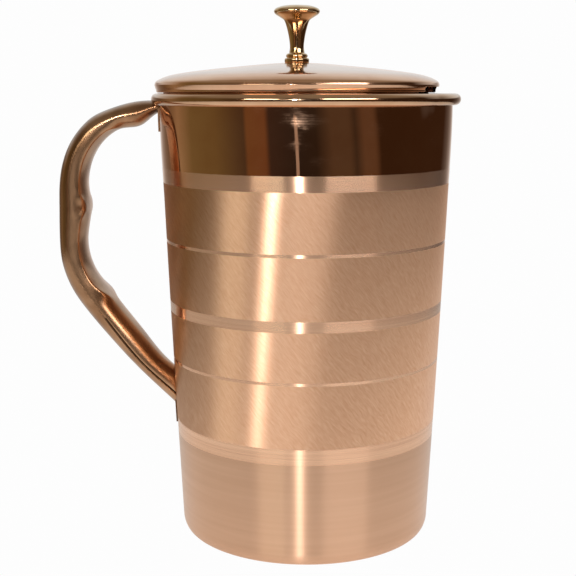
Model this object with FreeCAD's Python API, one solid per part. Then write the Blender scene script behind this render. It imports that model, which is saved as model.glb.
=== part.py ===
import FreeCAD, Part
import math
import os

# Copper water jug with a pulled pour lip, a hollow side handle and a lift-off lid with a brass knob.
# Units: mm. Origin: centre of the flat base, on the surface the jug stands on.
# +Z up, +X toward the pour lip, -X toward the handle.

# ---- Driving dimensions ----

# Jug wall: the outer radius grows with height and flattens slightly toward the rim.
SHEET = 0.9                     # wall, base and lid sheet thickness
RIM_HEIGHT = 189.3              # top of the rolled rim
BEAD_BOTTOM = 184.4             # underside of the rolled rim
BEAD_CENTRE_OUT = 0.95          # centre of the rolled rim, outside the wall's outer face
WALL_RIM_RADIUS = 62.0          # outer wall radius just under the rolled rim
WALL_SLOPE = 0.0352             # radius gained per mm of height, at the rim
WALL_SAG = 4.0e-5               # curvature of the wall line, per mm
FOOT_RADIUS = 51.6              # edge of the flat base
CORNER_HEIGHT = 5.6             # height of the rounded bottom corner

# Mouth: a circle moved toward the handle, with a lip pulled out of it on the other side.
MOUTH_CENTRE_X = -2.0
MOUTH_RADIUS = 60.0             # outer wall radius of the round part of the mouth
LIP_START = 146.0               # height where the wall begins to change from a cone
LIP_HALF_ANGLE = 31.0           # half the angle of the lip, seen from the jug's axis
LIP_NOSE_ROUND = 0.35           # roundness of the lip's nose
LIP_CREASE_SHARPNESS = 20.0     # sharpness of the crease where the lip leaves the round wall

# Lid: its axis stands close to the centre of the round part of the mouth, a little nearer the handle.
LID_CENTRE_X = -3.9
LID_NOSE_RADIUS = 60.0
LID_NOSE_HEIGHT = 192.7
LID_EDGE_GAP = 0.3              # lid edge above the rolled rim
LID_SEAT_RADIUS = 6.6           # flat seat under the knob
LID_SEAT_HEIGHT = 201.9
NOTCH_START = -30.0            # pour notch, from the near side of the lip in degrees from +X
NOTCH_END = 4.0
NOTCH_COLLAR_EXTRA = 1.0        # notch in the collar, wider by this on each side in degrees
NOTCH_REACH = 70.0              # cutting tool reaches past the flange
NOTCH_TOP = 192.0
COLLAR_RADIUS = 56.3
COLLAR_SHEET = 0.8
COLLAR_BOTTOM = 181.0

# Knob and its fastening.
KNOB_TOP = 225.7
SCREW_RADIUS = 1.95
SCREW_HOLE_RADIUS = 2.0
SCREW_DEPTH = 10.0
WASHER_RADIUS = 5.5
WASHER_THICKNESS = 0.8
SCREW_HEAD_RADIUS = 3.8
SCREW_HEAD_HEIGHT = 2.2

# Handle.
HANDLE_SHEET = 1.0
HANDLE_HALF_WIDTH = 11.2        # half the width of the grip, across the jug
HANDLE_SECTIONS = 44            # cross-sections along each handle shell, less one
SECTION_POINTS = 28             # points on each half of a cross-section
PLATE_SHEET = 0.7
TOP_PLATE_BOTTOM = 173.4
TOP_PLATE_HALF_WIDTH = 8.0
BOTTOM_PLATE_BOTTOM = 46.4
BOTTOM_PLATE_TOP = 68.0
BOTTOM_PLATE_HALF_WIDTH = 5.5

# Side view of the handle at stations from the rim to the foot. Each has the outer edge (x, z), the inner
# edge (x, z), the share of the full half width, and how flat the inner face is: 2 is round, 5 is flat.
HANDLE_STATIONS = [
    ((-58.0, 185.6), (-58.0, 182.6), 0.66, 2.6),
    ((-64.6, 186.3), (-64.6, 180.2), 0.70, 2.6),
    ((-70.5, 186.1), (-70.3, 175.9), 0.78, 2.6),
    ((-77.0, 184.9), (-77.0, 174.8), 0.86, 3.0),
    ((-84.5, 182.5), (-82.2, 172.9), 0.92, 4.0),
    ((-91.3, 179.2), (-86.8, 169.1), 0.97, 5.0),
    ((-96.8, 174.0), (-89.8, 165.2), 1.00, 5.0),
    ((-101.2, 167.5), (-92.0, 160.8), 1.00, 5.0),
    ((-104.5, 158.6), (-93.5, 155.4), 1.00, 5.0),
    ((-105.8, 150.4), (-93.9, 149.6), 1.00, 4.6),
    ((-106.2, 141.4), (-93.1, 141.4), 1.00, 2.8),
    ((-106.4, 133.4), (-94.1, 133.2), 1.00, 4.6),
    ((-106.4, 126.0), (-95.0, 126.2), 1.00, 5.0),
    ((-105.9, 118.6), (-94.2, 119.2), 1.00, 5.0),
    ((-103.9, 110.8), (-91.2, 111.8), 1.00, 4.6),
    ((-100.0, 102.6), (-85.6, 104.4), 1.00, 3.4),
    ((-94.0, 94.2), (-80.3, 97.4), 0.99, 2.6),
    ((-84.6, 82.8), (-71.6, 86.2), 0.96, 2.4),
    ((-73.0, 69.8), (-62.3, 74.4), 0.86, 2.4),
    ((-61.0, 57.6), (-52.0, 64.8), 0.66, 2.4),
    ((-52.5, 49.0), (-45.5, 57.0), 0.46, 2.4),
]

# Heights of the rings that the wall is lofted through, between the bottom corner and the rolled rim.
RING_HEIGHTS = [12.0, 25.0, 45.0, 70.0, 95.0, 120.0, 140.0, 150.0, 158.0, 166.0, 174.0, 180.0]


def wall_radius(z):
    """Outer radius of the plain cone at height z."""
    below_rim = z - BEAD_BOTTOM
    return WALL_RIM_RADIUS + WALL_SLOPE * below_rim - WALL_SAG * below_rim ** 2


def lip_share(z):
    """0 where the wall is a plain cone, 1 where it has the full shape of the mouth."""
    share = (z - LIP_START) / (BEAD_BOTTOM - LIP_START)
    share = max(0.0, min(1.0, share))
    return share ** 1.6


def lip_bulge(angle):
    """1 at the lip's nose and 0 outside the lip, with a soft crease at its root."""
    t = abs(angle) / math.radians(LIP_HALF_ANGLE)
    top = math.hypot(1.0, LIP_NOSE_ROUND)
    tent = (top - math.hypot(t, LIP_NOSE_ROUND)) / (top - LIP_NOSE_ROUND)
    k = LIP_CREASE_SHARPNESS
    soft = math.log1p(math.exp(k * max(tent, -3.0))) / k
    return soft / (math.log1p(math.exp(k)) / k)


def mouth_radius(angle):
    """Outer wall radius of the finished mouth, measured from the jug's axis."""
    side = MOUTH_CENTRE_X * math.sin(angle)
    ring = MOUTH_CENTRE_X * math.cos(angle) + math.sqrt(MOUTH_RADIUS ** 2 - side ** 2)
    reach = WALL_RIM_RADIUS - (MOUTH_CENTRE_X + MOUTH_RADIUS)
    return ring + reach * lip_bulge(angle)


def ring_angles():
    """Sample angles around the wall, closer together at the lip."""
    fine = [math.radians(a) for a in range(-45, 45, 3)]
    coarse = [math.radians(a) for a in range(45, 315, 9)]
    return fine + coarse


def ring_point(angle, z, offset):
    """Point of the wall's outer face at an angle and height, moved out along its normal."""
    def plain(a):
        share = lip_share(z)
        radius = (1.0 - share) * wall_radius(z) + share * mouth_radius(a)
        return FreeCAD.Vector(radius * math.cos(a), radius * math.sin(a), z)

    step = 1.0e-3
    along = plain(angle + step) - plain(angle - step)
    along.normalize()
    outward = FreeCAD.Vector(along.y, -along.x, 0.0)
    return plain(angle) + outward * offset


def closed_ring(points, angles):
    """Smooth closed wire through points, with the angles as its parameters."""
    curve = Part.BSplineCurve()
    knots = angles + [angles[0] + 2.0 * math.pi]
    curve.interpolate(Points=points, PeriodicFlag=True, Parameters=knots)
    return Part.Wire(curve.toShape())


def wall_ring(z, offset=0.0):
    angles = ring_angles()
    return closed_ring([ring_point(a, z, offset) for a in angles], angles)


def corner_rings(inset, floor):
    """Rings of the rounded bottom corner, from the flat base up to the wall."""
    rings = []
    corner_radius = wall_radius(CORNER_HEIGHT) - FOOT_RADIUS
    for degrees in (0, 20, 40, 60, 80):
        turn = math.radians(degrees)
        radius = FOOT_RADIUS + (corner_radius - inset) * math.sin(turn)
        z = floor + (CORNER_HEIGHT - floor) * (1.0 - math.cos(turn))
        rings.append(wall_ring(z, radius - wall_radius(z)))
    return rings


def wall_rings(inset, floor, top):
    """Rings of one face of the wall, from the edge of the flat base up to height top."""
    rings = corner_rings(inset, floor)
    rings += [wall_ring(z, -inset) for z in RING_HEIGHTS]
    rings.append(wall_ring(top, -inset))
    return rings


def bead_rings(start, end):
    """Rings around the rolled rim, between two angles counted up from its outermost line."""
    steps = 14
    radius = 0.5 * (RIM_HEIGHT - BEAD_BOTTOM)
    rings = []
    for i in range(steps + 1):
        turn = start + (end - start) * i / steps
        offset = BEAD_CENTRE_OUT + radius * math.cos(turn)
        rings.append(wall_ring(BEAD_BOTTOM + radius + radius * math.sin(turn), offset))
    return rings


def bead_turn(offset, side):
    """Angle on the rolled rim where it meets a face of the wall; side is -1 below and 1 above."""
    radius = 0.5 * (RIM_HEIGHT - BEAD_BOTTOM)
    return side * math.acos((offset - BEAD_CENTRE_OUT) / radius)


def jug_body():
    """Wall, base and rolled rim as one closed sheet: up the outside, over the rim, down the inside."""
    radius = 0.5 * (RIM_HEIGHT - BEAD_BOTTOM)
    under = bead_turn(0.0, -1)
    over = bead_turn(-SHEET, 1)
    outside = wall_rings(0.0, 0.0, BEAD_BOTTOM + radius + radius * math.sin(under))
    inside = wall_rings(SHEET, SHEET, BEAD_BOTTOM + radius + radius * math.sin(over))
    faces = []
    for rings in (outside, bead_rings(under, over), inside):
        faces += Part.makeLoft(rings, False, False).Faces
    faces.append(Part.Face(outside[0]))
    faces.append(Part.Face(inside[0]))
    shell = Part.Shell(faces)
    shell.sewShape()
    body = Part.Solid(shell.Shells[0] if shell.ShapeType != "Shell" else shell)
    if body.Volume < 0.0:
        body.reverse()
    return body


def jug_form():
    """The wall and the rolled rim with no hollow, used to trim what lies against them."""
    wall = Part.makeLoft(wall_rings(0.0, 0.0, BEAD_BOTTOM + 1.0), True, False)
    bead = Part.makeLoft(bead_rings(-0.497 * math.pi, 0.497 * math.pi), True, False)
    return [wall, bead]


def cut_all(shape, tools):
    for tool in tools:
        shape = shape.cut(tool)
    return shape


def revolve(profile, centre_x):
    """Solid of revolution about the vertical line at centre_x. Profile points are (radius, z)."""
    points = [FreeCAD.Vector(centre_x + r, 0.0, z) for r, z in profile]
    wire = Part.makePolygon(points + [points[0]])
    face = Part.Face(wire)
    return face.revolve(FreeCAD.Vector(centre_x, 0, 0), FreeCAD.Vector(0, 0, 1), 360)


def revolve_smooth(runs, centre_x):
    """Solid of revolution whose outline is made of runs of points, each a smooth curve or one line."""
    edges = []
    for run in runs:
        points = [FreeCAD.Vector(centre_x + r, 0.0, z) for r, z in run]
        if len(points) == 2:
            edges.append(Part.makeLine(points[0], points[1]))
        else:
            curve = Part.BSplineCurve()
            curve.interpolate(points)
            edges.append(curve.toShape())
    face = Part.Face(Part.Wire(edges))
    return face.revolve(FreeCAD.Vector(centre_x, 0, 0), FreeCAD.Vector(0, 0, 1), 360)


def sector(centre_x, first, last, low, high, radius):
    """Wedge between two angles from +X in degrees, used to cut the pour notch."""
    start = FreeCAD.Vector(centre_x, 0, low)
    corners = [start]
    for degrees, reach in ((first, radius), (0.5 * (first + last), 1.2 * radius), (last, radius)):
        turn = math.radians(degrees)
        corners.append(start + FreeCAD.Vector(reach * math.cos(turn), reach * math.sin(turn), 0))
    face = Part.Face(Part.makePolygon(corners + [start]))
    return face.extrude(FreeCAD.Vector(0, 0, high - low))


def station_marks():
    """Distance along the middle of the handle to each station."""
    marks = [0.0]
    for before, after in zip(HANDLE_STATIONS, HANDLE_STATIONS[1:]):
        step_x = 0.5 * (after[0][0] + after[1][0] - before[0][0] - before[1][0])
        step_z = 0.5 * (after[0][1] + after[1][1] - before[0][1] - before[1][1])
        marks.append(marks[-1] + math.hypot(step_x, step_z))
    return marks


def through_stations(points):
    """Smooth curve through one point per station, with distance along the handle as its parameter."""
    curve = Part.BSplineCurve()
    curve.interpolate(Points=points, Parameters=station_marks())
    return curve


def handle_sections(inset):
    """Closed wires of the handle's section, evenly spaced along it and inset from the outer face."""
    outer_edge = through_stations([FreeCAD.Vector(s[0][0], 0, s[0][1]) for s in HANDLE_STATIONS])
    inner_edge = through_stations([FreeCAD.Vector(s[1][0], 0, s[1][1]) for s in HANDLE_STATIONS])
    rows = zip(HANDLE_STATIONS, station_marks())
    shape_of = through_stations([FreeCAD.Vector(s[2], s[3], mark) for s, mark in rows])
    length = station_marks()[-1]
    angles = [2.0 * math.pi * i / SECTION_POINTS for i in range(SECTION_POINTS)]
    wires = []
    for i in range(HANDLE_SECTIONS + 1):
        mark = length * i / HANDLE_SECTIONS
        outer = outer_edge.value(mark)
        inner = inner_edge.value(mark)
        share, flatness, _ = shape_of.value(mark)
        outward = outer - inner
        half_depth = 0.5 * outward.Length - inset
        half_width = HANDLE_HALF_WIDTH * share - inset
        outward.normalize()
        points = []
        for a in angles:
            power = 2.0 if math.cos(a) >= 0.0 else flatness
            depth = half_depth * math.copysign(abs(math.cos(a)) ** (2.0 / power), math.cos(a))
            width = half_width * math.copysign(abs(math.sin(a)) ** (2.0 / power), math.sin(a))
            points.append((outer + inner) * 0.5 + outward * depth + FreeCAD.Vector(0, width, 0))
        wires.append(closed_ring(points, angles))
    return wires


def handle_tube():
    """The handle as one hollow tube."""
    outside = Part.makeLoft(handle_sections(0.0), True, False)
    hollow = Part.makeLoft(handle_sections(HANDLE_SHEET), True, False)
    return outside.cut(hollow)


def handle_outer_half():
    """Block whose inner face runs along the middle of the handle and which holds its outer half."""
    middle = []
    for (outer_x, outer_z), (inner_x, inner_z), _, _ in HANDLE_STATIONS:
        middle.append(FreeCAD.Vector(0.5 * (outer_x + inner_x), -30.0, 0.5 * (outer_z + inner_z)))
    first = middle[0] + FreeCAD.Vector(20.0, 0, 0)
    last = middle[-1] + (middle[-1] - middle[-2])
    curve = Part.BSplineCurve()
    curve.interpolate([first] + middle + [last])
    corners = [last, FreeCAD.Vector(last.x, -30.0, -20.0), FreeCAD.Vector(-140.0, -30.0, -20.0)]
    corners += [FreeCAD.Vector(-140.0, -30.0, 230.0), FreeCAD.Vector(first.x, -30.0, 230.0), first]
    boundary = Part.Wire([curve.toShape()] + [Part.makeLine(a, b) for a, b in zip(corners, corners[1:])])
    return Part.Face(boundary).extrude(FreeCAD.Vector(0, 60.0, 0))


def wall_plate(low, high, half_width, form):
    """Thin plate that lies against the wall on the handle's side."""
    rings = [wall_ring(low + (high - low) * i / 4.0, PLATE_SHEET) for i in range(5)]
    block = Part.makeBox(60.0, 2.0 * half_width, high - low, FreeCAD.Vector(-100.0, -half_width, low))
    return cut_all(Part.makeLoft(rings, True, False).common(block), form)


def main_solid(shape):
    """The largest solid of a shape, without crumbs left by cutting."""
    return max(shape.Solids, key=lambda s: s.Volume)


def lid_dome():
    nose_r = LID_NOSE_RADIUS
    nose_z = LID_NOSE_HEIGHT
    edge_z = RIM_HEIGHT + LID_EDGE_GAP
    top = [(LID_SEAT_RADIUS, LID_SEAT_HEIGHT), (13.4, 201.45), (25.8, 200.3), (38.3, 199.0), (48.8, 197.6)]
    top += [(54.1, 196.5), (57.8, 195.1), (nose_r - 0.45, nose_z + 1.2), (nose_r, nose_z)]
    flange = [(nose_r, nose_z), (nose_r - 0.9, nose_z - 1.2), (58.6, edge_z + 0.7), (58.2, edge_z)]
    inner = [(57.3, edge_z), (57.8, edge_z + 0.9), (nose_r - 1.9, nose_z - 0.7), (nose_r - 1.5, nose_z)]
    inner += [(57.3, 194.2), (53.9, 195.55), (48.7, 196.7), (38.2, 198.1), (25.7, 199.4), (13.3, 200.55)]
    inner += [(LID_SEAT_RADIUS, LID_SEAT_HEIGHT - SHEET)]
    runs = [
        [(0.0, LID_SEAT_HEIGHT), top[0]],
        top,
        flange,
        [flange[-1], inner[0]],
        inner,
        [inner[-1], (0.0, LID_SEAT_HEIGHT - SHEET)],
        [(0.0, LID_SEAT_HEIGHT - SHEET), (0.0, LID_SEAT_HEIGHT)],
    ]
    dome = revolve_smooth(runs, LID_CENTRE_X)
    notch = sector(LID_CENTRE_X, NOTCH_START, NOTCH_END, edge_z - 5.0, NOTCH_TOP, NOTCH_REACH)
    middle = Part.makeCylinder(56.9, 30.0, FreeCAD.Vector(LID_CENTRE_X, 0, edge_z - 6.0))
    bore = Part.makeCylinder(SCREW_HOLE_RADIUS, 30.0, FreeCAD.Vector(LID_CENTRE_X, 0, LID_SEAT_HEIGHT - 15.0))
    return dome.cut(notch.cut(middle)).cut(bore)


def lid_collar(dome):
    """Plug ring under the lid, trimmed to the lid's underside and open at the pour notch."""
    blank = revolve([
        (COLLAR_RADIUS - COLLAR_SHEET, COLLAR_BOTTOM),
        (COLLAR_RADIUS - 0.3, COLLAR_BOTTOM),
        (COLLAR_RADIUS, COLLAR_BOTTOM + 0.6),
        (COLLAR_RADIUS, 195.6),
        (COLLAR_RADIUS - COLLAR_SHEET, 195.6),
    ], LID_CENTRE_X)
    first = NOTCH_START - NOTCH_COLLAR_EXTRA
    last = NOTCH_END + NOTCH_COLLAR_EXTRA
    notch = sector(LID_CENTRE_X, first, last, COLLAR_BOTTOM - 1.0, NOTCH_TOP, NOTCH_REACH)
    pieces = blank.cut(notch).cut(dome)
    return main_solid(pieces)


def knob():
    """Turned knob: a domed disc on a waisted stem, with a small ring and a collar at its foot."""
    z = LID_SEAT_HEIGHT
    outline = [
        [(0.0, KNOB_TOP), (3.0, KNOB_TOP - 0.1), (6.0, KNOB_TOP - 0.35), (8.2, KNOB_TOP - 1.0)],
        [(8.2, KNOB_TOP - 1.0), (9.3, KNOB_TOP - 1.7), (9.65, KNOB_TOP - 2.6), (9.2, KNOB_TOP - 3.6)],
        [(9.2, KNOB_TOP - 3.6), (7.3, KNOB_TOP - 4.9), (5.5, KNOB_TOP - 6.1), (5.0, KNOB_TOP - 7.0)],
        [(5.0, KNOB_TOP - 7.0), (4.4, KNOB_TOP - 8.8), (3.6, KNOB_TOP - 12.0), (3.05, KNOB_TOP - 15.5),
         (2.95, KNOB_TOP - 17.5), (3.3, z + 4.1)],
        [(3.3, z + 4.1), (4.4, z + 3.3), (4.5, z + 2.5), (4.2, z + 2.1)],
        [(4.2, z + 2.1), (5.15, z + 1.5)],
        [(5.15, z + 1.5), (5.15, z + 0.2)],
        [(5.15, z + 0.2), (4.95, z)],
        [(4.95, z), (0.0, z)],
        [(0.0, z), (0.0, KNOB_TOP)],
    ]
    bore = Part.makeCylinder(SCREW_HOLE_RADIUS, SCREW_DEPTH + 1.0, FreeCAD.Vector(LID_CENTRE_X, 0, z))
    return revolve_smooth(outline, LID_CENTRE_X).cut(bore)


def knob_washer():
    top = LID_SEAT_HEIGHT - SHEET
    return revolve([
        (SCREW_HOLE_RADIUS, top),
        (WASHER_RADIUS - 0.15, top),
        (WASHER_RADIUS, top - 0.15),
        (WASHER_RADIUS, top - WASHER_THICKNESS + 0.15),
        (WASHER_RADIUS - 0.15, top - WASHER_THICKNESS),
        (SCREW_HOLE_RADIUS, top - WASHER_THICKNESS),
    ], LID_CENTRE_X)


def knob_screw():
    """Round-head screw with a cross slot, driven up through washer and lid into the knob."""
    top = LID_SEAT_HEIGHT - SHEET - WASHER_THICKNESS
    screw = revolve([
        (0.0, top - SCREW_HEAD_HEIGHT),
        (1.8, top - SCREW_HEAD_HEIGHT + 0.15),
        (3.1, top - SCREW_HEAD_HEIGHT + 0.8),
        (SCREW_HEAD_RADIUS, top - 0.6),
        (SCREW_HEAD_RADIUS, top),
        (SCREW_RADIUS, top),
        (SCREW_RADIUS, LID_SEAT_HEIGHT + SCREW_DEPTH - 0.8),
        (SCREW_RADIUS - 0.8, LID_SEAT_HEIGHT + SCREW_DEPTH),
        (0.0, LID_SEAT_HEIGHT + SCREW_DEPTH),
    ], LID_CENTRE_X)
    slot_low = top - SCREW_HEAD_HEIGHT - 0.2
    for length_x, length_y in ((4.2, 0.8), (0.8, 4.2)):
        corner = FreeCAD.Vector(LID_CENTRE_X - 0.5 * length_x, -0.5 * length_y, slot_low)
        screw = screw.cut(Part.makeBox(length_x, length_y, 1.4, corner))
    return screw


def build():
    form = jug_form()
    top_plate = wall_plate(TOP_PLATE_BOTTOM, BEAD_BOTTOM - 0.6, TOP_PLATE_HALF_WIDTH, form)
    bottom_plate = wall_plate(BOTTOM_PLATE_BOTTOM, BOTTOM_PLATE_TOP, BOTTOM_PLATE_HALF_WIDTH, form)
    tube = cut_all(handle_tube(), form + [top_plate, bottom_plate])
    outer_half = handle_outer_half()
    dome = lid_dome()
    return {
        "jug_body": jug_body(),
        "handle_back_shell": main_solid(tube.common(outer_half)),
        "handle_grip_shell": main_solid(tube.cut(outer_half)),
        "handle_top_plate": main_solid(top_plate),
        "handle_bottom_plate": main_solid(bottom_plate),
        "lid_dome": main_solid(dome),
        "lid_collar": lid_collar(dome),
        "lid_knob": main_solid(knob()),
        "knob_screw": main_solid(knob_screw()),
        "knob_washer": main_solid(knob_washer()),
    }


os.makedirs("parts", exist_ok=True)
for node, solid in build().items():
    solid.exportStep("parts/" + node + ".step")
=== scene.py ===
"""Looks of the copper water jug.

Dense smooth sheet-metal meshes with procedural metal finishes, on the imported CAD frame.
"""

import math

import bpy
import numpy as np
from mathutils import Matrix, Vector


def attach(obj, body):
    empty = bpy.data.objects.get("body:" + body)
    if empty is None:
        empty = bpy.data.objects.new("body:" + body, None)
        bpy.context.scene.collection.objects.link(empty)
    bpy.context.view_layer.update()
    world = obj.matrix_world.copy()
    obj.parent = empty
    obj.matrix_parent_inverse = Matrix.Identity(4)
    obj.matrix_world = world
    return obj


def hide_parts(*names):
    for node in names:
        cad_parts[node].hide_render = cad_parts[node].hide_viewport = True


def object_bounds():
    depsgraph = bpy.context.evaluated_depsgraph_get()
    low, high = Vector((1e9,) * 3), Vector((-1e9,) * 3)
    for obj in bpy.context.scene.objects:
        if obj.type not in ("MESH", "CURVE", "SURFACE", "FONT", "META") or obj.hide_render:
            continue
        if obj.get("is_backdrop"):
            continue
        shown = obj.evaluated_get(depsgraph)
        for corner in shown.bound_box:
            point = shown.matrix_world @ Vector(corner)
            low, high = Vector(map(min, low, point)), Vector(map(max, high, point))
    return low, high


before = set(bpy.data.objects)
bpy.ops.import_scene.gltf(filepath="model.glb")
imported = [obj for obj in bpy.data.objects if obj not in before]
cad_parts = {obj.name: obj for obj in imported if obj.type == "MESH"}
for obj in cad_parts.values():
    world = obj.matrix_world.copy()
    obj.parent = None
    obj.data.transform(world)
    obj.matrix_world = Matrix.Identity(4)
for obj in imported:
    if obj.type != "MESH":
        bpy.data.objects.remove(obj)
CAD_LOW, CAD_HIGH = (list(corner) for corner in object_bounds())

MM = 0.001

# ---- Dimensions of the jug, in millimetres; the same as the CAD part's, unless a comment says otherwise ----

# Wall, rolled rim and base.
SHEET = 0.9
RIM_HEIGHT = 189.3
BEAD_BOTTOM = 184.4
BEAD_RADIUS = 0.5 * (RIM_HEIGHT - BEAD_BOTTOM)
BEAD_MIDDLE = BEAD_BOTTOM + BEAD_RADIUS
BEAD_CENTRE_OUT = 0.95
WALL_RIM_RADIUS = 62.0
WALL_SLOPE = 0.0352
WALL_SAG = 4.0e-5
FOOT_RADIUS = 51.6
CORNER_HEIGHT = 5.6

# Mouth: a circle moved toward the handle, with a lip pulled out of it on the other side.
MOUTH_CENTRE_X = -2.0
MOUTH_RADIUS = 60.0
LIP_START = 146.0
LIP_HALF_ANGLE = 31.0
LIP_NOSE_ROUND = 0.35
LIP_CREASE_SHARPNESS = 20.0

# Lid with its pour notch, in degrees from +X, and its plug collar; knob.
LID_CENTRE_X = -3.9
LID_NOSE_RADIUS = 60.0
LID_NOSE_HEIGHT = 192.7
LID_EDGE_HEIGHT = RIM_HEIGHT + 0.3
LID_SEAT_RADIUS = 6.6
LID_SEAT_HEIGHT = 201.9
NOTCH_START = -30.0
NOTCH_END = 4.0
NOTCH_TOP = 192.0
NOTCH_COLUMNS = 31
LID_COLUMNS_OUTSIDE_NOTCH = 331
# Columns this close to the notch's sides, in radians, make its steep sides; half of it tells them apart.
NOTCH_SIDE_TURN = 1.0e-3
COLLAR_RADIUS = 56.3
COLLAR_SHEET = 0.8
COLLAR_BOTTOM = 181.0
KNOB_TOP = 225.7

# Not the CAD part's: the bead at the lid's edge, and a bore 0.2 mm wider than there, hidden by the knob.
EDGE_BEAD_MIDDLE = 58.75
EDGE_BEAD_RADIUS = 0.6
LID_BORE_RADIUS = 2.2

# Handle.
HANDLE_HALF_WIDTH = 11.2
HANDLE_SHEET = 1.0

# ---- Mesh density ----

WALL_COLUMNS = 360
WALL_RING_PITCH = 2.0
RIM_STEPS = 26
INSIDE_RINGS = 60
UNDERSIDE_RINGS = (12.0, 30.0, 45.0)
INSIDE_FLOOR_RINGS = (40.0, 20.0, 8.0)
HANDLE_RINGS = 220
HANDLE_HALF_COLUMNS = 44
KNOB_COLUMNS = 128

# Degrees from ring to ring around the base corner.
CORNER_STEP_OUTSIDE = 8
CORNER_STEP_INSIDE = 10

# Radius used to turn an angle around the wall into millimetres for the finishes.
FINISH_RADIUS = 59.0

# Finish bands on the outside of the wall, from the foot up: top height and finish.
BANDS = [
    (43.4, "foot"),
    (50.0, "turned"),
    (76.3, "brushed"),
    (77.5, "turned"),
    (97.7, "brushed"),
    (102.2, "turned"),
    (127.3, "brushed"),
    (128.6, "turned"),
    (152.4, "brushed"),
    (158.6, "turned"),
    (185.0, "mirror"),
]


# ---- Shape of the wall ----


def wall_radius(z):
    """Radius of the plain tapered wall's outer face."""
    below_rim = z - BEAD_BOTTOM
    return WALL_RIM_RADIUS + WALL_SLOPE * below_rim - WALL_SAG * below_rim**2


def lip_share(z):
    """How far the wall has changed from the cone to the mouth's outline, 0 to 1."""
    share = (z - LIP_START) / (BEAD_BOTTOM - LIP_START)
    return max(0.0, min(1.0, share)) ** 1.6


def lip_bulge(angle):
    """Reach of the pulled lip at an angle from +X: 1 at its nose, 0 beyond its creases."""
    t = np.abs(angle) / math.radians(LIP_HALF_ANGLE)
    top = math.hypot(1.0, LIP_NOSE_ROUND)
    tent = (top - np.hypot(t, LIP_NOSE_ROUND)) / (top - LIP_NOSE_ROUND)
    k = LIP_CREASE_SHARPNESS
    soft = np.log1p(np.exp(k * np.maximum(tent, -3.0))) / k
    return soft / (math.log1p(math.exp(k)) / k)


def wall_outline(angles, z):
    """Radius of the wall's outer face from the jug's axis, at each angle."""
    side = MOUTH_CENTRE_X * np.sin(angles)
    ring = MOUTH_CENTRE_X * np.cos(angles) + np.sqrt(MOUTH_RADIUS**2 - side**2)
    mouth = ring + (WALL_RIM_RADIUS - MOUTH_CENTRE_X - MOUTH_RADIUS) * lip_bulge(angles)
    share = lip_share(z)
    return (1.0 - share) * wall_radius(z) + share * mouth


def wrapped(angles):
    return (angles + math.pi) % (2.0 * math.pi) - math.pi


def wall_ring(angles, z, offset):
    """Points of a ring around the wall, moved out along its normal by offset."""
    step = 1.0e-3

    def plain(a):
        radius = wall_outline(wrapped(a), z)
        return np.stack([radius * np.cos(a), radius * np.sin(a)], axis=1)

    along = plain(angles + step) - plain(angles - step)
    along /= np.linalg.norm(along, axis=1)[:, None]
    outward = np.stack([along[:, 1], -along[:, 0]], axis=1)
    flat = plain(angles) + outward * offset
    return np.column_stack([flat, np.full(len(angles), z)])


# ---- Mesh helpers ----


def build_mesh(name, points, faces, materials, face_slots, uvs, sharp_rows, row_length):
    """Smooth mesh object from points in millimetres; edges along the sharp rows stay sharp."""
    mesh = bpy.data.meshes.new(name)
    mesh.from_pydata((np.asarray(points) * MM).tolist(), [], faces)
    mesh.update()
    for material in materials:
        mesh.materials.append(material)
    mesh.polygons.foreach_set("use_smooth", [True] * len(mesh.polygons))
    mesh.polygons.foreach_set("material_index", face_slots)
    layer = mesh.uv_layers.new(name="around")
    layer.data.foreach_set("uv", np.asarray(uvs, np.float32).ravel())
    rows_of_ends = np.array([edge.vertices[:] for edge in mesh.edges]) // row_length
    sharp = np.zeros(len(mesh.edges), bool)
    for row in sharp_rows:
        sharp |= (rows_of_ends == row).all(axis=1)
    layer = mesh.attributes.new("sharp_edge", "BOOLEAN", "EDGE")
    layer.data.foreach_set("value", sharp)
    mesh.validate()
    piece = bpy.data.objects.new(name, mesh)
    bpy.context.scene.collection.objects.link(piece)
    return piece


def one_slot(row, column):
    return 0


def ring_stack(name, rows, materials, slot_at=one_slot, sharp=(), cap_ends=True, around=None):
    """Surface through rings of equal length, with the distance along and across as its UVs.

    slot_at gives the material slot of the face at a row and column; the column of an end cap is None.
    """
    rows = [np.asarray(row, float) for row in rows]
    count = len(rows[0])
    points = np.concatenate(rows)
    heights = [0.0]
    for before, after in zip(rows, rows[1:]):
        heights.append(heights[-1] + float(np.linalg.norm(after - before, axis=1).mean()))
    if around is None:
        steps = np.linalg.norm(np.roll(rows[0], -1, axis=0) - rows[0], axis=1)
        around = np.concatenate([[0.0], np.cumsum(steps)])
    faces, slots, uvs = [], [], []
    for i in range(len(rows) - 1):
        for j in range(count):
            k = (j + 1) % count
            faces.append((i * count + j, i * count + k, (i + 1) * count + k, (i + 1) * count + j))
            slots.append(slot_at(i, j))
            uvs += [(around[j], heights[i]), (around[j + 1], heights[i])]
            uvs += [(around[j + 1], heights[i + 1]), (around[j], heights[i + 1])]
    if cap_ends:
        last_row = len(rows) - 1
        start = last_row * count
        first_cap = tuple(reversed(range(count)))
        last_cap = tuple(range(start, start + count))
        for cap, row in ((first_cap, 0), (last_cap, last_row)):
            faces.append(cap)
            slots.append(slot_at(row, None))
            uvs += [(points[v][0], points[v][1]) for v in cap]
    return build_mesh(name, points, faces, materials, slots, uvs, sharp, count)


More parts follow.
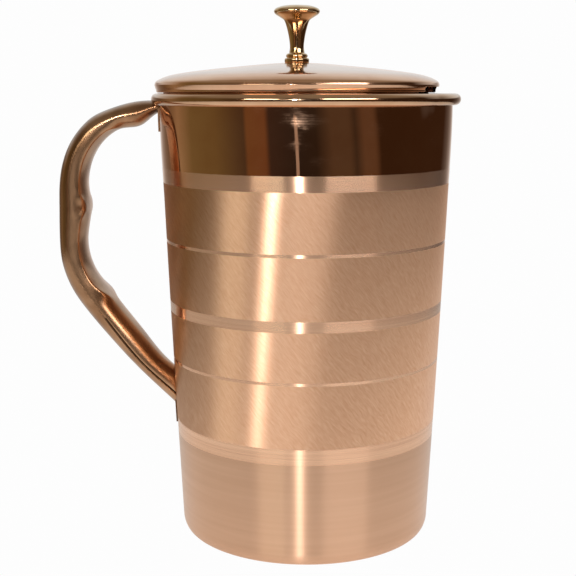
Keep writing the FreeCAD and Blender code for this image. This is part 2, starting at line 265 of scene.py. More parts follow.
def smooth_run(points, per_segment=8):
    """Centripetal Catmull-Rom points through a short list of profile points."""
    p = np.asarray(points, float)
    if len(p) == 2:
        return p
    padded = np.vstack([2 * p[0] - p[1], p, 2 * p[-1] - p[-2]])
    out = []
    for i in range(1, len(padded) - 2):
        p0, p1, p2, p3 = padded[i - 1 : i + 3]
        t0 = 0.0
        t1 = t0 + max(np.linalg.norm(p1 - p0), 1e-6) ** 0.5
        t2 = t1 + max(np.linalg.norm(p2 - p1), 1e-6) ** 0.5
        t3 = t2 + max(np.linalg.norm(p3 - p2), 1e-6) ** 0.5
        for t in np.linspace(t1, t2, per_segment, endpoint=False):
            a1 = (t1 - t) / (t1 - t0) * p0 + (t - t0) / (t1 - t0) * p1
            a2 = (t2 - t) / (t2 - t1) * p1 + (t - t1) / (t2 - t1) * p2
            a3 = (t3 - t) / (t3 - t2) * p2 + (t - t2) / (t3 - t2) * p3
            b1 = (t2 - t) / (t2 - t0) * a1 + (t - t0) / (t2 - t0) * a2
            b2 = (t3 - t) / (t3 - t1) * a2 + (t - t1) / (t3 - t1) * a3
            out.append((t2 - t) / (t2 - t1) * b1 + (t - t1) / (t2 - t1) * b2)
    out.append(p[-1])
    return np.array(out)


def lathe_rows(profile, angles, centre_x):
    """Rings for a profile of (radius, z) points."""
    rows = []
    for r, z in profile:
        x = centre_x + r * np.cos(angles)
        rows.append(np.column_stack([x, r * np.sin(angles), np.full(len(angles), z)]))
    return rows


# ---- Materials ----


class Nodes:
    """Short calls for building a node tree."""

    def __init__(self, tree):
        self.tree = tree

    def add(self, kind, **settings):
        node = self.tree.nodes.new(kind)
        for key, value in settings.items():
            setattr(node, key, value)
        return node

    def link(self, out, into):
        self.tree.links.new(out, into)

    def value(self, into, value):
        if isinstance(value, bpy.types.NodeSocket):
            self.link(value, into)
        else:
            into.default_value = value

    def maths(self, operation, a, b=0.0, clamp=False):
        node = self.add("ShaderNodeMath", operation=operation, use_clamp=clamp)
        self.value(node.inputs[0], a)
        self.value(node.inputs[1], b)
        return node.outputs[0]

    def mapping(self, vector, scale=(1, 1, 1), rotation=(0, 0, 0), location=(0, 0, 0)):
        node = self.add("ShaderNodeMapping")
        node.inputs["Scale"].default_value = scale
        node.inputs["Rotation"].default_value = rotation
        node.inputs["Location"].default_value = location
        self.link(vector, node.inputs["Vector"])
        return node.outputs[0]

    def noise(self, vector, scale=1.0, detail=2.0, roughness=0.5, distortion=0.0):
        node = self.add("ShaderNodeTexNoise")
        node.inputs["Scale"].default_value = scale
        node.inputs["Detail"].default_value = detail
        node.inputs["Roughness"].default_value = roughness
        node.inputs["Distortion"].default_value = distortion
        self.link(vector, node.inputs["Vector"])
        return node.outputs["Fac"]

    def remap(self, value, low, high, to_low, to_high, smooth=False):
        node = self.add("ShaderNodeMapRange")
        if smooth:
            node.interpolation_type = "SMOOTHSTEP"
        self.value(node.inputs["Value"], value)
        node.inputs["From Min"].default_value = low
        node.inputs["From Max"].default_value = high
        node.inputs["To Min"].default_value = to_low
        node.inputs["To Max"].default_value = to_high
        return node.outputs["Result"]

    def mix(self, factor, a, b):
        node = self.add("ShaderNodeMix", data_type="RGBA")
        self.value(node.inputs["Factor"], factor)
        sockets = [s for s in node.inputs if s.type == "RGBA"]
        for socket, colour in zip(sockets, (a, b)):
            self.value(socket, colour if isinstance(colour, bpy.types.NodeSocket) else (*colour, 1.0))
        return [s for s in node.outputs if s.type == "RGBA"][0]

    def ramp(self, factor, stops):
        """Colour ramp through (position, colour) stops."""
        node = self.add("ShaderNodeValToRGB")
        elements = node.color_ramp.elements
        while len(elements) < len(stops):
            elements.new(0.5)
        for element, (position, colour) in zip(elements, stops):
            element.position = position
            element.color = (*colour, 1.0)
        self.link(factor, node.inputs[0])
        return node.outputs[0]

    def bump(self, height, distance):
        node = self.add("ShaderNodeBump")
        node.inputs["Strength"].default_value = 1.0
        node.inputs["Distance"].default_value = distance
        self.link(height, node.inputs["Height"])
        return node.outputs["Normal"]

    def around(self):
        """Millimetres along and across the piece."""
        node = self.add("ShaderNodeUVMap")
        node.uv_map = "around"
        return node.outputs["UV"]

    def place(self):
        """Object coordinates in millimetres."""
        node = self.add("ShaderNodeTexCoord")
        return self.mapping(node.outputs["Object"], scale=(1.0 / MM, 1.0 / MM, 1.0 / MM))


class MaterialNodes(Nodes):
    """The node tree of a new material, with its Principled shader."""

    def __init__(self, name):
        self.material = bpy.data.materials.new(name)
        self.material.use_nodes = True
        super().__init__(self.material.node_tree)
        self.shader = self.tree.nodes["Principled BSDF"]


COPPER = (0.90, 0.56, 0.375)
COPPER_DEEP = (0.78, 0.43, 0.26)
COPPER_WARM = (0.91, 0.58, 0.385)
SATIN = (0.92, 0.59, 0.40)
SATIN_DEEP = (0.84, 0.50, 0.33)
FOOT_COPPER = (0.74, 0.465, 0.315)
FOOT_DEEP = (0.70, 0.43, 0.285)
RIM_COPPER = (0.74, 0.47, 0.30)
RIM_DEEP = (0.62, 0.36, 0.21)
HANDLE_COPPER = (0.50, 0.29, 0.165)
HANDLE_DARK = (0.28, 0.14, 0.07)
# Handle end plates: near-black copper, painted shade that stands in for the shade where the plates stand off
# the wall.
PLATE_SHADE_COPPER = (0.20, 0.10, 0.05)
PLATE_SHADE_DARK = (0.09, 0.045, 0.022)
JOINT_BROWN = (0.10, 0.05, 0.025)
JOINT_DARK = (0.05, 0.025, 0.012)
BRASS = (0.86, 0.60, 0.36)
BRASS_DEEP = (0.66, 0.42, 0.20)
ZINC_LIGHT = (0.62, 0.62, 0.63)
ZINC_GREY = (0.42, 0.42, 0.44)

# Anisotropic rotation that draws a highlight out across level lines, and across the diagonal brushing.
ACROSS_LEVEL = 0.25
ACROSS_DIAGONAL = 0.13
DIAGONAL_ANGLE = math.radians(50)
MIRROR_ROUGHNESS = 0.035
SCUFFED_ROUGHNESS = 0.17


def metal_nodes(name, light, dark, roughness, spread=0.04, tone_scale=0.03, wave=0.02, gloss_scale=0.35):
    """Polished metal: patchy tone, slightly uneven gloss, and a faint hand-made waviness.

    Scales are per millimetre, and the wave is the height of the waviness in millimetres.
    """
    n = MaterialNodes(name)
    place = n.place()
    tone = n.noise(place, scale=tone_scale, detail=4.0, roughness=0.55)
    colour = n.mix(n.remap(tone, 0.35, 0.7, 0.0, 1.0, smooth=True), light, dark)
    n.link(colour, n.shader.inputs["Base Color"])
    n.shader.inputs["Metallic"].default_value = 1.0
    fine = n.noise(place, scale=gloss_scale, detail=5.0, roughness=0.6)
    n.link(n.remap(fine, 0.3, 0.75, roughness, roughness + spread), n.shader.inputs["Roughness"])
    waves = n.noise(place, scale=0.06, detail=1.0)
    n.link(n.bump(waves, wave * MM), n.shader.inputs["Normal"])
    return n


def metal(*settings, **options):
    return metal_nodes(*settings, **options).material


def brushed(name, light, dark, roughness, gloss_change, angle, rotation, line_across, line_along, depth):
    """Brushed metal: fine lines at an angle to the ring direction, and a highlight drawn out across them.

    Width, length and depth of the lines are in millimetres. Diagonal lines sway a little.
    """
    n = MaterialNodes(name)
    around = n.around()
    drift = n.noise(around, scale=0.12, detail=1.0)
    sway = line_along * 0.9 if angle else 0.0
    waver = n.maths("MULTIPLY", n.maths("SUBTRACT", drift, 0.5), sway)
    shift = n.add("ShaderNodeCombineXYZ")
    n.link(waver, shift.inputs[1])
    bent = n.add("ShaderNodeVectorMath", operation="ADD")
    n.link(around, bent.inputs[0])
    n.link(shift.outputs[0], bent.inputs[1])
    lines_at = n.mapping(bent.outputs[0], rotation=(0, 0, angle))
    stretched = n.mapping(lines_at, scale=(1.0 / line_along, 1.0 / line_across, 1.0))
    fine = n.noise(stretched, scale=1.0, detail=1.5, roughness=0.6, distortion=0.15)
    coarse_at = n.mapping(lines_at, scale=(0.4 / line_along, 0.28 / line_across, 1.0), location=(7.3, 1.9, 0))
    coarse = n.noise(coarse_at, scale=1.0, detail=2.0, roughness=0.5)
    both = n.maths("ADD", n.maths("MULTIPLY", fine, 0.6), n.maths("MULTIPLY", coarse, 0.4))
    colour = n.mix(n.remap(both, 0.36, 0.66, 0.0, 1.0), dark, light)
    n.link(colour, n.shader.inputs["Base Color"])
    n.shader.inputs["Metallic"].default_value = 1.0
    gloss = n.remap(both, 0.3, 0.7, roughness + gloss_change, roughness - gloss_change)
    n.link(gloss, n.shader.inputs["Roughness"])
    n.shader.inputs["Anisotropic"].default_value = 1.0
    n.shader.inputs["Anisotropic Rotation"].default_value = rotation
    tangent = n.add("ShaderNodeTangent", direction_type="RADIAL", axis="Z")
    n.link(tangent.outputs["Tangent"], n.shader.inputs["Tangent"])
    n.link(n.bump(both, depth * MM), n.shader.inputs["Normal"])
    return n.material


def scuffed_mirror():
    """Mirror polish with cloudy wipe marks and faint level scratches."""
    n = metal_nodes("copper_mirror", COPPER, COPPER_DEEP, MIRROR_ROUGHNESS, spread=0.03)
    around = n.around()
    cloud = n.noise(n.mapping(around, scale=(0.07, 0.11, 1.0)), scale=1.0, detail=4.0, roughness=0.6)
    rubbed = n.remap(cloud, 0.47, 0.66, 0.0, 1.0, smooth=True)
    level = n.noise(n.mapping(around, scale=(0.06, 2.4, 1.0)), scale=1.0, detail=4.0, roughness=0.7)
    marks = n.maths("MULTIPLY", rubbed, n.remap(level, 0.40, 0.72, 0.15, 1.0))
    gloss = n.remap(marks, 0.0, 1.0, MIRROR_ROUGHNESS, SCUFFED_ROUGHNESS)
    n.link(gloss, n.shader.inputs["Roughness"])
    return n.material


MIRROR = scuffed_mirror()
TURNED = brushed(
    "copper_turned", SATIN, SATIN_DEEP, roughness=0.25, gloss_change=0.02,
    angle=0.0, rotation=ACROSS_LEVEL, line_across=0.3, line_along=70.0, depth=0.001,
)
BRUSHED = brushed(
    "copper_brushed", COPPER_WARM, COPPER_DEEP, roughness=0.34, gloss_change=0.05,
    angle=DIAGONAL_ANGLE, rotation=ACROSS_DIAGONAL, line_across=0.26, line_along=3.0, depth=0.022,
)
FOOT = brushed(
    "copper_foot", FOOT_COPPER, FOOT_DEEP, roughness=0.29, gloss_change=0.012,
    angle=0.0, rotation=ACROSS_LEVEL, line_across=2.5, line_along=90.0, depth=0.0008,
)
RIM = metal("copper_rim", RIM_COPPER, RIM_DEEP, 0.09, wave=0.04)
INSIDE = metal("copper_inside", COPPER, COPPER_DEEP, 0.30, spread=0.12)
LID = metal("copper_lid", COPPER, COPPER_DEEP, 0.10, wave=0.03)
HANDLE = metal(
    "copper_handle", HANDLE_COPPER, HANDLE_DARK, 0.20, spread=0.10, tone_scale=0.045, gloss_scale=0.09,
)
BRASS_POLISH = metal("brass_knob", BRASS, BRASS_DEEP, 0.09, tone_scale=0.2, wave=0.01)
# Painted shade: the end plates' near-black copper stands in for the shade where they stand off the wall.
PLATE_PAINTED_SHADE = metal("copper_plate_painted_shade", PLATE_SHADE_COPPER, PLATE_SHADE_DARK, 0.35, spread=0.2)
JOINT = metal("copper_joint", JOINT_BROWN, JOINT_DARK, 0.45, spread=0.2, tone_scale=0.3)
STEEL = metal("steel_fastener", ZINC_LIGHT, ZINC_GREY, 0.28, tone_scale=0.4)


# ---- Jug wall ----


def jug_rows(angles):
    """Rings and finishes from the outside base, up the wall, over the rim, and down to the inside floor."""
    rows, finishes, sharp = [], [], []

    def add(ring, finish):
        rows.append(ring)
        finishes.append(finish)

    for radius in UNDERSIDE_RINGS:
        add(wall_ring(angles, 0.0, radius - wall_radius(0.0)), "foot")
    corner = wall_radius(CORNER_HEIGHT) - FOOT_RADIUS
    for degrees in range(0, 90, CORNER_STEP_OUTSIDE):
        turn = math.radians(degrees)
        radius = FOOT_RADIUS + corner * math.sin(turn)
        z = CORNER_HEIGHT * (1.0 - math.cos(turn))
        add(wall_ring(angles, z, radius - wall_radius(z)), "foot")
    under = -math.acos(-BEAD_CENTRE_OUT / BEAD_RADIUS)
    over = math.acos((-SHEET - BEAD_CENTRE_OUT) / BEAD_RADIUS)
    low = CORNER_HEIGHT
    wall_top = BEAD_MIDDLE + BEAD_RADIUS * math.sin(under)
    for top, finish in BANDS:
        top = min(top, wall_top)
        steps = max(1, int(math.ceil((top - low) / WALL_RING_PITCH)))
        for i in range(steps):
            add(wall_ring(angles, low + (top - low) * i / steps, 0.0), finish)
        low = top
    sharp.append(len(rows))
    for i in range(RIM_STEPS + 1):
        turn = under + (over - under) * i / RIM_STEPS
        offset = BEAD_CENTRE_OUT + BEAD_RADIUS * math.cos(turn)
        add(wall_ring(angles, BEAD_MIDDLE + BEAD_RADIUS * math.sin(turn), offset), "rim")
    sharp.append(len(rows) - 1)
    finishes[-1] = "inside"
    inner_top = BEAD_MIDDLE + BEAD_RADIUS * math.sin(over)
    for z in np.linspace(inner_top, CORNER_HEIGHT, INSIDE_RINGS)[1:]:
        add(wall_ring(angles, z, -SHEET), "inside")
    for degrees in range(80, -1, -CORNER_STEP_INSIDE):
        turn = math.radians(degrees)
        radius = FOOT_RADIUS + (corner - SHEET) * math.sin(turn)
        z = SHEET + (CORNER_HEIGHT - SHEET) * (1.0 - math.cos(turn))
        add(wall_ring(angles, z, radius - wall_radius(z)), "inside")
    for radius in INSIDE_FLOOR_RINGS:
        add(wall_ring(angles, SHEET, radius - wall_radius(SHEET)), "inside")
    return rows, finishes, sharp


def make_jug():
    angles = np.linspace(-math.pi, math.pi, WALL_COLUMNS, endpoint=False)
    rows, finishes, sharp = jug_rows(angles)
    kinds = ["foot", "turned", "brushed", "mirror", "rim", "inside"]
    materials = [FOOT, TURNED, BRUSHED, MIRROR, RIM, INSIDE]

    def slot_at(row, column):
        return kinds.index(finishes[row])

    # The finishes begin and end behind the handle.
    around = np.linspace(math.pi * FINISH_RADIUS, 3.0 * math.pi * FINISH_RADIUS, WALL_COLUMNS + 1)
    piece = ring_stack("jug_wall", rows, materials, slot_at, sharp, around=around)
    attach(piece, "jug")
    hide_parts("jug_body")


# ---- Handle ----

# Outer edge and inner edge as (x, z), share of the full half width, and flatness of the inner face, at
# stations from the rim down to the foot of the handle. The CAD part's, but flatter at the finger swell.
HANDLE_STATIONS = [
    ((-58.0, 185.6), (-58.0, 182.6), 0.66, 2.6),
    ((-64.6, 186.3), (-64.6, 180.2), 0.70, 2.6),
    ((-70.5, 186.1), (-70.3, 175.9), 0.78, 2.6),
    ((-77.0, 184.9), (-77.0, 174.8), 0.86, 3.0),
    ((-84.5, 182.5), (-82.2, 172.9), 0.92, 4.0),
    ((-91.3, 179.2), (-86.8, 169.1), 0.97, 5.0),
    ((-96.8, 174.0), (-89.8, 165.2), 1.00, 5.0),
    ((-101.2, 167.5), (-92.0, 160.8), 1.00, 5.0),
    ((-104.5, 158.6), (-93.5, 155.4), 1.00, 5.0),
    ((-105.8, 150.4), (-93.9, 149.6), 1.00, 4.6),
    ((-106.2, 141.4), (-93.1, 141.4), 1.00, 3.3),
    ((-106.4, 133.4), (-94.1, 133.2), 1.00, 4.6),
    ((-106.4, 126.0), (-95.0, 126.2), 1.00, 5.0),
    ((-105.9, 118.6), (-94.2, 119.2), 1.00, 5.0),
    ((-103.9, 110.8), (-91.2, 111.8), 1.00, 4.6),
    ((-100.0, 102.6), (-85.6, 104.4), 1.00, 3.4),
    ((-94.0, 94.2), (-80.3, 97.4), 0.99, 2.6),
    ((-84.6, 82.8), (-71.6, 86.2), 0.96, 2.4),
    ((-73.0, 69.8), (-62.3, 74.4), 0.86, 2.4),
    ((-61.0, 57.6), (-52.0, 64.8), 0.66, 2.4),
    ((-52.5, 49.0), (-45.5, 57.0), 0.46, 2.4),
]

# Distance kept between handle and wall.
CLEAR_OF_WALL = 0.03
# Softness of the edge where the flat pressed face meets the round sides of the grip.
FLAT_EDGE_ROUND = 0.35
# The joint line opens along the lower arm: where that starts, over what length, how wide and deep the
# groove gets, how far the line moves outward, and from where it is dark.
LOWER_ARM_START = 108.0
LOWER_ARM_BLEND = 34.0
GROOVE_WIDTH = 0.55
GROOVE_DEPTH = 0.55
JOINT_SHIFT = 1.2
JOINT_DARK_FROM = 120.0
# Flatness of a section at which its inner face starts to be pressed flat, and over what range.
PRESS_START = 2.7
PRESS_BLEND = 1.6
# How much fuller than an ellipse a pressed section is, and how much its flat face falls off to the sides.
PRESS_FULLNESS = 1.3
PRESS_CROWN = 0.35
# Turn between the last columns at a joint edge, in radians.
EDGE_TURN_WIDE = 0.07
EDGE_TURN_FINE = 0.01


def natural_spline(marks, values, at):
    """Natural cubic spline through values at marks, evaluated at other marks."""
    marks = np.asarray(marks, float)
    values = np.asarray(values, float)
    n = len(marks)
    gaps = np.diff(marks)
    system = np.zeros((n, n))
    right = np.zeros((n,) + values.shape[1:])
    system[0, 0] = system[-1, -1] = 1.0
    for i in range(1, n - 1):
        system[i, i - 1] = gaps[i - 1]
        system[i, i] = 2.0 * (gaps[i - 1] + gaps[i])
        system[i, i + 1] = gaps[i]
        right[i] = 6.0 * ((values[i + 1] - values[i]) / gaps[i] - (values[i] - values[i - 1]) / gaps[i - 1])
    bends = np.linalg.solve(system, right)
    out = []
    for t in at:
        i = int(np.clip(np.searchsorted(marks, t) - 1, 0, n - 2))
        a = (marks[i + 1] - t) / gaps[i]
        b = (t - marks[i]) / gaps[i]
        curve = ((a**3 - a) * bends[i] + (b**3 - b) * bends[i + 1]) * gaps[i] ** 2 / 6.0
        out.append(a * values[i] + b * values[i + 1] + curve)
    return np.array(out)


def keep_outside(points):
    """Moves points that lie inside the wall or the rolled rim straight out to its surface."""
    out = points.copy()
    for p in out:
        angle = math.atan2(p[1], p[0])
        reach = float(wall_outline(np.array([angle]), p[2])[0])
        if abs(p[2] - BEAD_MIDDLE) < BEAD_RADIUS:
            swell = math.sqrt(BEAD_RADIUS**2 - (p[2] - BEAD_MIDDLE) ** 2)
            reach += BEAD_CENTRE_OUT + swell
        reach += CLEAR_OF_WALL
        here = math.hypot(p[0], p[1])
        if here < reach:
            p[0] *= reach / here
            p[1] *= reach / here
    return out


def eased(value):
    """Smooth step from 0 to 1."""
    t = min(1.0, max(0.0, value))
    return t * t * (3.0 - 2.0 * t)


def soft_excess(over):
    """How far a value stands above zero, with a rounded start."""
    return FLAT_EDGE_ROUND * math.log1p(math.exp(min(over / FLAT_EDGE_ROUND, 40.0)))


def half_section(half_depth, half_width, pressed, outer_half, groove):
    """Depth and width of one half's outline, from one joint edge to the other."""
    bow = half_depth * (1.0 + PRESS_FULLNESS * pressed)
    rounding = soft_excess(bow - half_depth) - (bow - half_depth)
    edge = 0.5 * math.pi
    turns = np.linspace(EDGE_TURN_WIDE - edge, edge - EDGE_TURN_WIDE, HANDLE_HALF_COLUMNS - 4)
    turns = np.concatenate([[-edge, EDGE_TURN_FINE - edge], turns, [edge - EDGE_TURN_FINE, edge]])
    outline = []
    for turn in turns:
        depth = bow * max(0.0, math.cos(turn))
        crown = half_depth * (1.0 - PRESS_CROWN * pressed * math.sin(turn) ** 2)
        if not outer_half:
            depth += rounding * math.cos(turn) - soft_excess(depth - crown)
        width = half_width * math.sin(turn)
        if depth < GROOVE_DEPTH:
            width -= math.copysign(groove * (1.0 - max(depth, 0.0) / GROOVE_DEPTH), width)
        outline.append((depth, width))
    return outline


def joint_columns(outer_half):
    """Columns of the turned-in joint faces, and of the groove beside them."""
    half = HANDLE_HALF_COLUMNS
    count = 2 * half
    joint = {half - 1, count - 1}
    if outer_half:
        return joint, {0, 1, half - 3, half - 2}
    return joint, {half, half + 1, count - 3, count - 2}


def handle_half(name, outer_half):
    """One half of the hollow handle: a bent channel with its edges turned in at the joint line."""
    middles = np.array([0.5 * (np.array(outer) + np.array(inner)) for outer, inner, _, _ in HANDLE_STATIONS])
    steps = np.linalg.norm(np.diff(middles, axis=0), axis=1)
    marks = np.concatenate([[0.0], np.cumsum(steps)])
    data = [[*outer, *inner, share, flatness] for outer, inner, share, flatness in HANDLE_STATIONS]
    at = np.linspace(0.0, marks[-1], HANDLE_RINGS)
    side = 1.0 if outer_half else -1.0
    rings = []
    for mark, (ox, oz, ix, iz, share, flatness) in zip(at, natural_spline(marks, data, at)):
        outer = np.array([ox, 0.0, oz])
        inner = np.array([ix, 0.0, iz])
        centre = 0.5 * (outer + inner)
        length = np.linalg.norm(outer - inner)
        outward = (outer - inner) / length
        lower_arm = eased((mark - LOWER_ARM_START) / LOWER_ARM_BLEND)
        shift = JOINT_SHIFT * lower_arm
        pressed = 0.0 if outer_half else eased((flatness - PRESS_START) / PRESS_BLEND)
        ring = []
        for inset, groove in ((0.0, GROOVE_WIDTH * lower_arm), (HANDLE_SHEET, 0.0)):
            half_depth = 0.5 * length - inset - side * shift
            half_width = HANDLE_HALF_WIDTH * share - inset
            outline = half_section(half_depth, half_width, pressed, outer_half, groove)
            line = [centre + outward * (side * depth + shift) + np.array([0.0, width, 0.0])
                    for depth, width in outline]
            ring += line if inset == 0.0 else line[::-1]
        if not outer_half:
            ring = ring[::-1]
        rings.append(keep_outside(np.array(ring)))
    joint, groove_columns = joint_columns(outer_half)

    def slot_at(row, column):
        open_joint = column in groove_columns and at[row] > JOINT_DARK_FROM
        return 1 if open_joint or column in joint else 0

    return ring_stack(name, rings, [HANDLE, JOINT], slot_at)


def make_handle():
    back = handle_half("handle_outer", True)
    grip = handle_half("handle_inner", False)
    for piece, node in ((back, "handle_back_shell"), (grip, "handle_grip_shell")):
        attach(piece, "jug")
        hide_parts(node)


# ---- Lid and knob ----


def notched_angles():
    """Angles around the lid, with a close pair at each side of the notch."""
    first, last = math.radians(NOTCH_START), math.radians(NOTCH_END)
    inside = np.linspace(first + NOTCH_SIDE_TURN, last - NOTCH_SIDE_TURN, NOTCH_COLUMNS)
    outside = np.linspace(last, 2.0 * math.pi + first, LID_COLUMNS_OUTSIDE_NOTCH)
    return np.concatenate([inside, outside])


def cut_notch(rows, angles, low_limit):
    """Raises the edge of the rows to the notch's top, inside the notch."""
    middle = math.radians(0.5 * (NOTCH_START + NOTCH_END))
    half = math.radians(0.5 * (NOTCH_END - NOTCH_START))
    inside = np.abs(wrapped(angles - middle)) < half - 0.5 * NOTCH_SIDE_TURN
    for row in rows:
        edge = inside & (row[:, 2] < low_limit)
        row[edge, 2] = low_limit
    return rows


def make_lid():
    """Domed disc with its turned-down flange and a beaded edge, open at the knob's bore."""
    nose_r, nose_z = LID_NOSE_RADIUS, LID_NOSE_HEIGHT
    edge = LID_EDGE_HEIGHT
    top = [(LID_SEAT_RADIUS, LID_SEAT_HEIGHT), (13.4, 201.45), (25.8, 200.3), (38.3, 199.0), (48.8, 197.6)]
    top += [(54.1, 196.5), (57.8, 195.1), (nose_r - 0.45, nose_z + 1.2), (nose_r, nose_z)]
    flange = [(nose_r, nose_z), (nose_r - 0.25, nose_z - 0.9), (nose_r - 0.62, nose_z - 2.0)]
    bead = []
    for degrees in range(20, -221, -20):
        turn = math.radians(degrees)
        r = EDGE_BEAD_MIDDLE + EDGE_BEAD_RADIUS * math.cos(turn)
        bead.append((r, edge + EDGE_BEAD_RADIUS * (1.0 + math.sin(turn))))
    under = [(58.3, edge + 1.5), (nose_r - 1.6, nose_z - 0.9), (nose_r - 1.5, nose_z + 0.2), (57.3, 194.2)]
    under += [(53.9, 195.55), (48.7, 196.7), (38.2, 198.1), (25.7, 199.4), (13.3, 200.55)]
    under += [(LID_SEAT_RADIUS, LID_SEAT_HEIGHT - SHEET)]
    profile = [(LID_BORE_RADIUS, LID_SEAT_HEIGHT)]
    profile += [tuple(p) for p in smooth_run(top, 10)]
    profile += [tuple(p) for p in smooth_run(flange, 5)][1:]
    profile += bead
    profile += [tuple(p) for p in smooth_run(under, 8)]
    profile += [(LID_BORE_RADIUS, LID_SEAT_HEIGHT - SHEET)]
    angles = notched_angles()
    rows = cut_notch(lathe_rows(profile, angles, LID_CENTRE_X), angles, NOTCH_TOP)
    rows = rows[::-1]
    lid = ring_stack("lid_disc", rows + [rows[0].copy()], [LID], cap_ends=False)
    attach(lid, "lid")
    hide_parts("lid_dome")


def make_collar():
    """Plug collar under the lid."""
    inner = COLLAR_RADIUS - COLLAR_SHEET
    ring = [(inner, 194.6), (inner, 190.0), (inner, COLLAR_BOTTOM + 0.3), (inner + 0.3, COLLAR_BOTTOM)]
    ring += [(COLLAR_RADIUS - 0.3, COLLAR_BOTTOM), (COLLAR_RADIUS, COLLAR_BOTTOM + 0.4)]
    ring += [(COLLAR_RADIUS, 190.0), (COLLAR_RADIUS, 194.2)]
    angles = notched_angles()
    rows = cut_notch(lathe_rows(ring, angles, LID_CENTRE_X), angles, NOTCH_TOP)
    collar = ring_stack("lid_plug_ring", rows + [rows[0].copy()], [INSIDE], cap_ends=False)
    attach(collar, "lid")
    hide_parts("lid_collar")


def make_knob():
    """Turned knob: button, waisted stem, two beads at its foot, and the bore for the screw."""
    z, top = LID_SEAT_HEIGHT, KNOB_TOP
    runs = [
        [(0.3, top), (3.0, top - 0.1), (6.0, top - 0.35), (8.2, top - 1.0)],
        [(8.2, top - 1.0), (9.3, top - 1.7), (9.65, top - 2.6), (9.2, top - 3.6), (7.3, top - 4.9),
         (5.5, top - 6.1), (5.0, top - 7.0), (4.4, top - 8.8), (3.6, top - 12.0), (3.05, top - 15.5),
         (2.95, top - 17.5), (3.3, z + 4.1)],
        [(3.3, z + 4.1), (4.2, z + 3.75), (4.55, z + 3.2), (4.55, z + 2.7), (4.2, z + 2.2)],
        [(4.2, z + 2.2), (4.85, z + 2.0), (5.15, z + 1.6), (5.2, z + 0.9), (5.15, z + 0.3), (4.95, z)],
    ]
    profile = []
    for run in runs:
        profile += [tuple(p) for p in smooth_run(run, 7)][(1 if profile else 0) :]
    profile += [(2.0, z), (2.0, z + 10.9), (0.2, z + 11.0)]
    angles = np.linspace(0.0, 2.0 * math.pi, KNOB_COLUMNS, endpoint=False)
    rows = lathe_rows(profile[::-1], angles, LID_CENTRE_X)
    knob = ring_stack("knob", rows, [BRASS_POLISH])
    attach(knob, "lid")
    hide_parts("lid_knob")


def finish_cad_nodes():
    """Better materials on the CAD nodes that stay."""
    for node, material in (
        ("knob_screw", STEEL),
        ("knob_washer", STEEL),
        # The end plates get the near-black copper, painted shade.
        ("handle_top_plate", PLATE_PAINTED_SHADE),
        ("handle_bottom_plate", PLATE_PAINTED_SHADE),
    ):
        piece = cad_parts[node]
        piece.data.materials.clear()
        piece.data.materials.append(material)


# ---- Studio ----

BACKDROP_WHITE = (0.984, 0.984, 0.984)
FLOOR_RADIUS = 0.6
FLOOR_GLOW_NEAR = 0.60
FLOOR_GLOW_FAR = 0.20
FLOOR_GLOW_EDGE = 0.08
FLOOR_PAPER = ((0.50, 0.495, 0.49), (0.54, 0.535, 0.53))
LIGHT_TARGET = (0.0, 0.0, 0.11)

# Tones around the room, by direction in degrees from the camera's side, positive toward +X.
ROOM_TONES = [
    (-180, (0.13, 0.09, 0.05)),
    (-136, (0.13, 0.08, 0.04)),
    (-116, (0.30, 0.22, 0.13)),
    (-98, (0.16, 0.12, 0.05)),
    (-72, (0.14, 0.10, 0.04)),
    (-54, (0.09, 0.06, 0.03)),
    (-46, (0.07, 0.045, 0.025)),
    (-44, (0.15, 0.075, 0.03)),
    (-29, (0.15, 0.07, 0.03)),
    (-26, (0.045, 0.028, 0.02)),
    (-3, (0.028, 0.02, 0.015)),
    (10, (0.03, 0.02, 0.013)),
    (22, (0.085, 0.055, 0.032)),
    (36, (0.085, 0.055, 0.032)),
    (41, (0.05, 0.033, 0.02)),
    (48, (0.115, 0.07, 0.04)),
    (57, (0.115, 0.07, 0.04)),
    (62, (0.04, 0.022, 0.011)),
    (138, (0.04, 0.02, 0.01)),
    (180, (0.13, 0.09, 0.05)),
]
CEILING_TONE = (0.29, 0.26, 0.21)
CEILING_START = 0.35
CEILING_BLEND = 0.35

# Brightness of the white screen behind the jug, by how far a direction points away from the camera's side:
# at jug height, and higher up.
SCREEN_LOW = [(0.66, 0.0), (0.80, 0.08), (0.88, 0.22), (0.93, 0.48), (0.97, 0.78), (1.0, 0.92)]
SCREEN_HIGH = [(0.30, 0.0), (0.60, 0.50), (0.80, 0.85), (1.0, 0.95)]
SCREEN_LOW_TONE = (1.0, 0.985, 0.97)
SCREEN_HIGH_TONE = (0.80, 0.88, 0.92)
SCREEN_HIGH_START = 0.10
SCREEN_HIGH_BLEND = 0.08


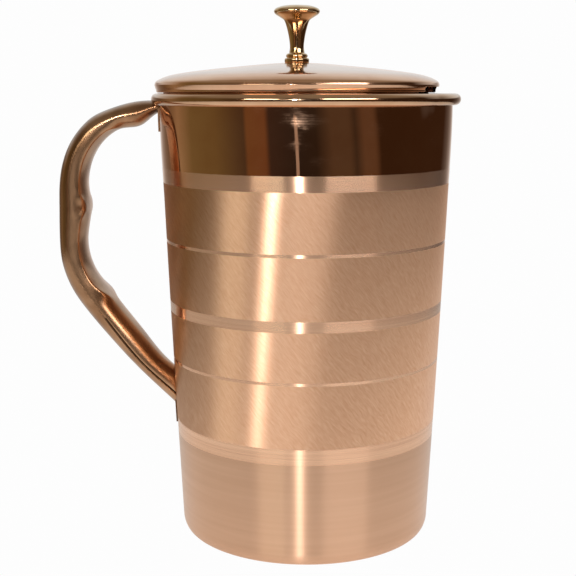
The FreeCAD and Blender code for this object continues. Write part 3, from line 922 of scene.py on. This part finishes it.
def make_floor():
    """Round pale table under the jug; the camera sees it as the same white as the backdrop."""
    count = 128
    turns = np.linspace(0.0, 2.0 * math.pi, count, endpoint=False)
    z = CAD_LOW[2] - 0.0002
    rim = [(FLOOR_RADIUS * math.cos(t), FLOOR_RADIUS * math.sin(t), z) for t in turns]
    mesh = bpy.data.meshes.new("studio_floor")
    mesh.from_pydata(rim, [], [tuple(range(count))])
    floor = bpy.data.objects.new("studio_floor", mesh)
    bpy.context.scene.collection.objects.link(floor)
    n = MaterialNodes("floor_paper")
    grain = n.noise(n.place(), scale=0.5, detail=3.0)
    n.link(n.mix(grain, *FLOOR_PAPER), n.shader.inputs["Base Color"])
    n.shader.inputs["Roughness"].default_value = 1.0
    n.shader.inputs["Specular IOR Level"].default_value = 0.0
    n.shader.inputs["Emission Color"].default_value = (1.0, 0.99, 0.97, 1.0)
    reach = n.add("ShaderNodeVectorMath", operation="LENGTH")
    n.link(n.add("ShaderNodeTexCoord").outputs["Object"], reach.inputs[0])
    glow = n.remap(reach.outputs["Value"], FLOOR_GLOW_EDGE, FLOOR_RADIUS, FLOOR_GLOW_NEAR, FLOOR_GLOW_FAR)
    n.link(glow, n.shader.inputs["Emission Strength"])
    white = n.add("ShaderNodeEmission")
    white.inputs["Color"].default_value = (*BACKDROP_WHITE, 1.0)
    seen = n.add("ShaderNodeLightPath")
    both = n.add("ShaderNodeMixShader")
    n.link(seen.outputs["Is Camera Ray"], both.inputs[0])
    n.link(n.shader.outputs[0], both.inputs[1])
    n.link(white.outputs[0], both.inputs[2])
    n.link(both.outputs[0], n.tree.nodes["Material Output"].inputs["Surface"])
    mesh.materials.append(n.material)
    floor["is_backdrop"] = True


def area_light(name, azimuth, elevation, distance, width, height, power, colour):
    """Soft light that faces the middle of the jug."""
    a, e = math.radians(azimuth), math.radians(elevation)
    away = np.array([math.cos(e) * math.sin(a), -math.cos(e) * math.cos(a), math.sin(e)])
    lamp = bpy.data.lights.new(name, "AREA")
    lamp.shape = "RECTANGLE"
    lamp.size = width
    lamp.size_y = height
    lamp.energy = power
    lamp.color = colour
    holder = bpy.data.objects.new(name, lamp)
    bpy.context.scene.collection.objects.link(holder)
    holder.location = np.array(LIGHT_TARGET) + away * distance
    holder.rotation_euler = (math.pi / 2 - e, 0.0, a)
    holder.visible_camera = False


def make_lights():
    area_light("lamp", -4.5, 14, 1.4, 0.034, 0.08, 5.5, (1.0, 0.99, 0.98))
    area_light("left_softbox", -29, 19.5, 1.6, 0.67, 0.31, 4.3, (0.95, 1.0, 0.90))
    area_light("right_softbox", 37, 25, 1.6, 1.10, 0.32, 8.0, (1.0, 1.0, 1.0))
    area_light("slit_light", -5, 0, 1.5, 0.06, 0.45, 0.03, (1.0, 0.86, 0.76))


def make_world():
    """A room that is dark in front and white behind, and plain white to the camera itself."""
    world = bpy.data.worlds.new("studio")
    bpy.context.scene.world = world
    world.use_nodes = True
    n = Nodes(world.node_tree)
    n.tree.nodes.clear()
    split = n.add("ShaderNodeSeparateXYZ")
    n.link(n.add("ShaderNodeTexCoord").outputs["Generated"], split.inputs[0])
    x, y, z = split.outputs
    azimuth = n.maths("ARCTAN2", x, n.maths("MULTIPLY", y, -1.0))
    turn = n.maths("ADD", n.maths("DIVIDE", azimuth, 2.0 * math.pi), 0.5)

    def rising(start, blend):
        return n.maths("DIVIDE", n.maths("SUBTRACT", z, start), blend, clamp=True)

    def screen(levels):
        return n.ramp(y, [(position, (level, level, level)) for position, level in levels])

    room = n.ramp(turn, [(degrees / 360.0 + 0.5, tone) for degrees, tone in ROOM_TONES])
    around = n.mix(rising(CEILING_START, CEILING_BLEND), room, CEILING_TONE)
    low_seen = n.mix(screen(SCREEN_LOW), around, SCREEN_LOW_TONE)
    high_seen = n.mix(screen(SCREEN_HIGH), around, SCREEN_HIGH_TONE)
    seen = n.mix(rising(SCREEN_HIGH_START, SCREEN_HIGH_BLEND), low_seen, high_seen)
    is_camera = n.add("ShaderNodeLightPath").outputs["Is Camera Ray"]
    background = n.add("ShaderNodeBackground")
    n.link(n.mix(is_camera, seen, BACKDROP_WHITE), background.inputs["Color"])
    output = n.add("ShaderNodeOutputWorld")
    n.link(background.outputs[0], output.inputs["Surface"])


def make_camera():
    """Camera in front of the jug, a little above its rim."""
    lens_mm = 70.24
    distance = 0.48383
    height = 0.1904
    pitch_down = 0.17383
    turn_left = 0.01579
    data = bpy.data.cameras.new("camera")
    data.lens = lens_mm
    data.sensor_width = 36.0
    data.clip_start = 0.01
    camera = bpy.data.objects.new("camera", data)
    bpy.context.scene.collection.objects.link(camera)
    camera.location = (0.0, -distance, CAD_LOW[2] + height)
    camera.rotation_euler = (math.pi / 2 - pitch_down, 0.0, turn_left)
    bpy.context.scene.camera = camera


make_camera()
make_jug()
make_handle()
make_lid()
make_collar()
make_knob()
finish_cad_nodes()
make_floor()
make_lights()
make_world()
bpy.context.scene.view_settings.view_transform = "Standard"
